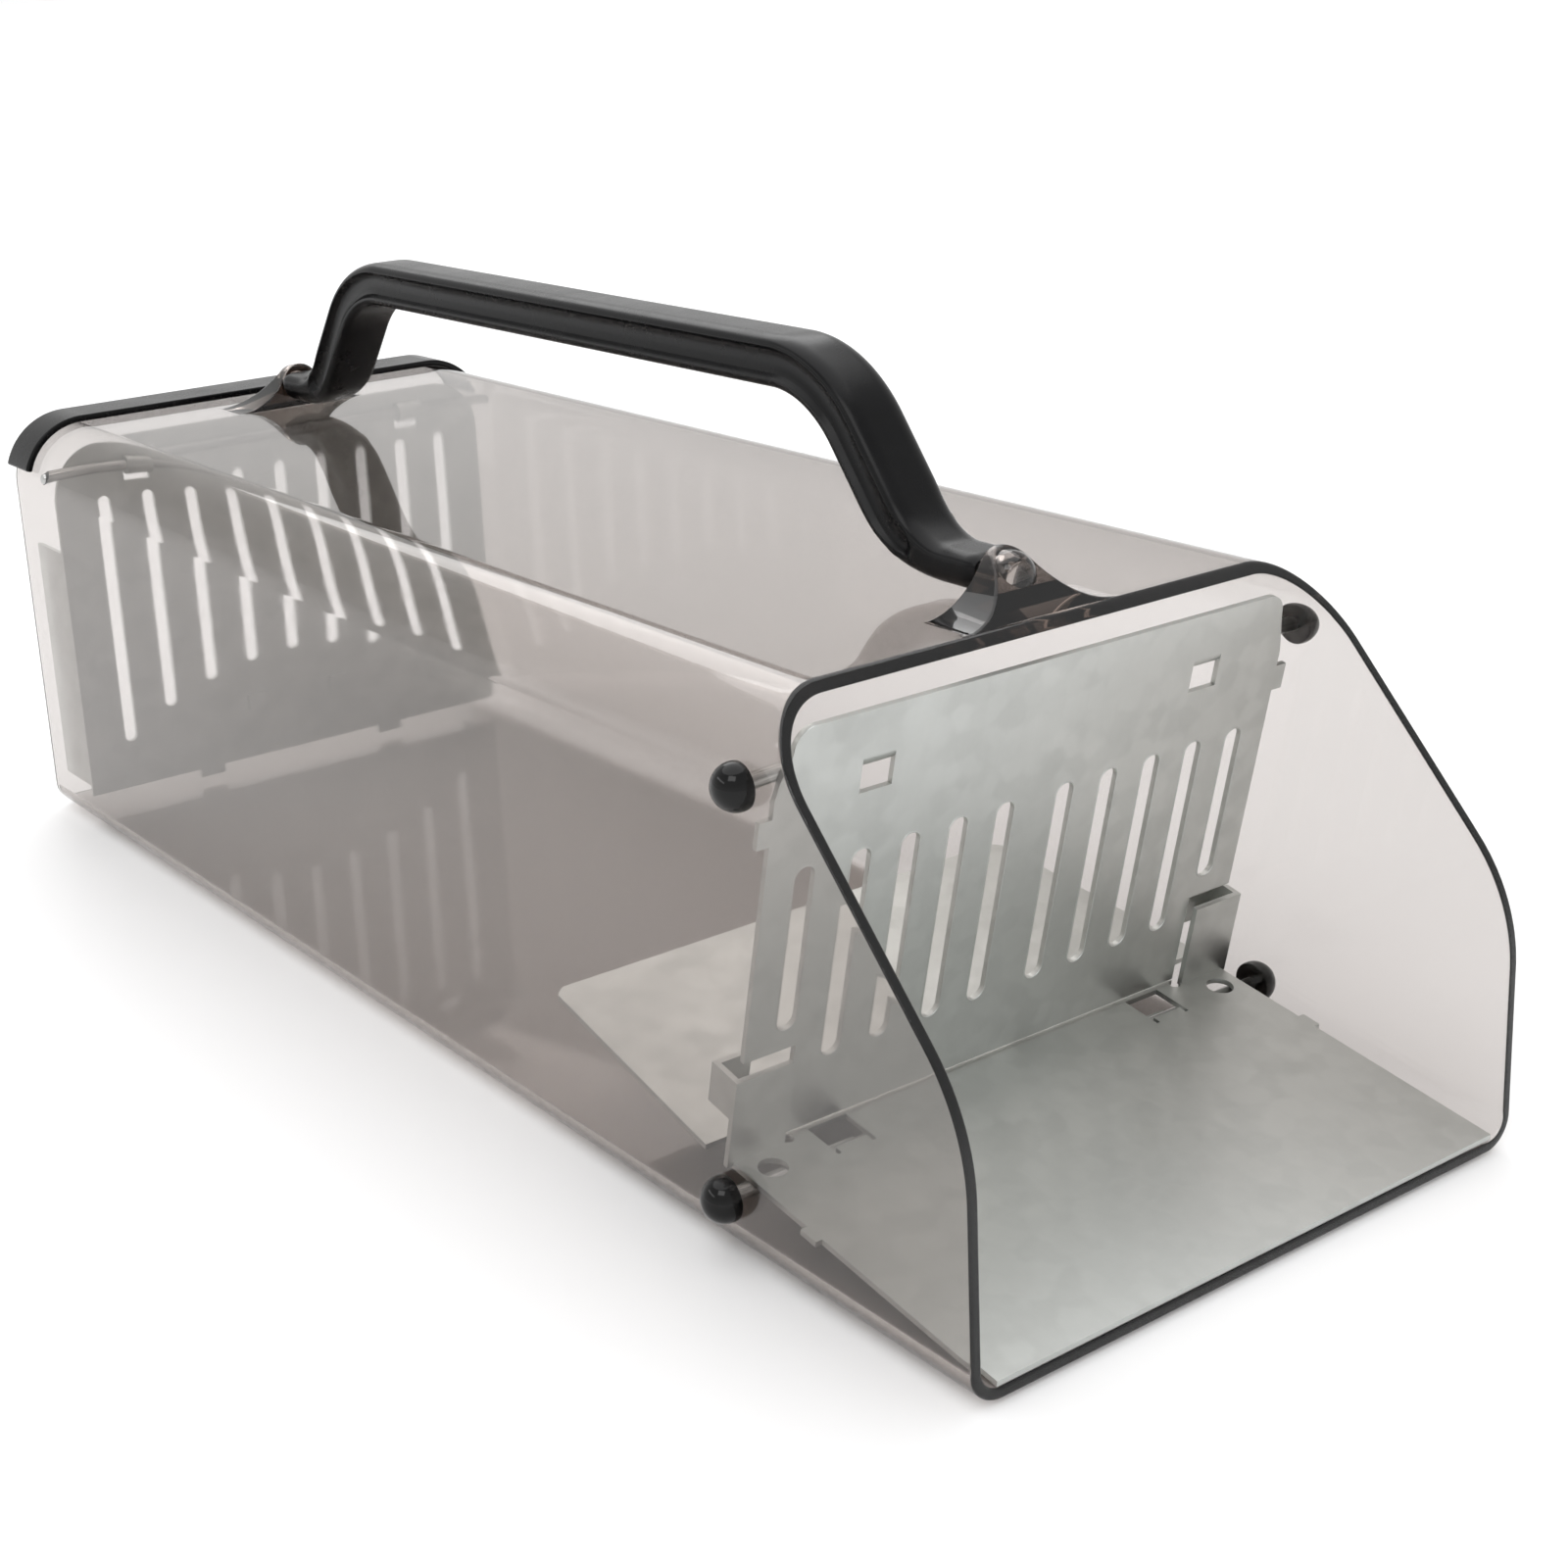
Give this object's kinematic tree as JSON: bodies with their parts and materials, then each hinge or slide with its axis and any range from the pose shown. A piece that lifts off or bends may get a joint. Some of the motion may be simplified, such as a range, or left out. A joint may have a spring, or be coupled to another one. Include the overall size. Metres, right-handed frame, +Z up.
{
  "type": "live-catch tunnel mouse trap",
  "caption": "Clear tunnel-shaped live-catch mouse trap with a hanging slotted front door, a see-saw treadle, a hinged slotted rear door and a swinging carry handle.",
  "frame": {"origin": "centre of the part's box at table height", "axes": "+Z up, +Y from the entrance towards the rear door along the length, +X to the right seen from the entrance"},
  "size_m": [0.1028, 0.2692, 0.1055],
  "materials": {
    "clear_plastic": "smoky transparent moulded plastic",
    "black_plastic": "glossy black moulded plastic",
    "black_cap": "glossy black domed cap",
    "zinc_sheet": "galvanised sheet steel",
    "steel_wire": "drawn steel wire"
  },
  "bodies": {
    "housing": {"housing": "clear_plastic", "door_axle": "steel_wire", "door_axle_cap_left": "black_cap", "door_axle_cap_right": "black_cap", "treadle_axle": "steel_wire", "treadle_axle_cap_left": "black_cap", "treadle_axle_cap_right": "black_cap", "rear_axle": "steel_wire", "rear_top_rail": "black_plastic"},
    "front_door": {"front_door": "zinc_sheet"},
    "treadle": {"treadle": "zinc_sheet"},
    "handle": {"handle": "black_plastic"},
    "rear_door": {"rear_door": "zinc_sheet"}
  },
  "joints": [
    {"name": "front_door_swing", "type": "hinge", "parent": "housing", "child": "front_door", "pos_m": [0, -0.0959, 0.0643], "axis": [1, 0, 0], "range_deg": [0, 62]},
    {"name": "treadle_tilt", "type": "hinge", "parent": "housing", "child": "treadle", "pos_m": [0, -0.0892, 0.008], "axis": [-1, 0, 0], "range_deg": [0, 16]},
    {"name": "handle_swing", "type": "hinge", "parent": "housing", "child": "handle", "pos_m": [0, 0, 0.0791], "axis": [0, 1, 0], "range_deg": [-50, 50]},
    {"name": "rear_door_swing", "type": "hinge", "parent": "housing", "child": "rear_door", "pos_m": [0, 0.1194, 0.0667], "axis": [1, 0, 0], "range_deg": [0, 60]}
  ]
}
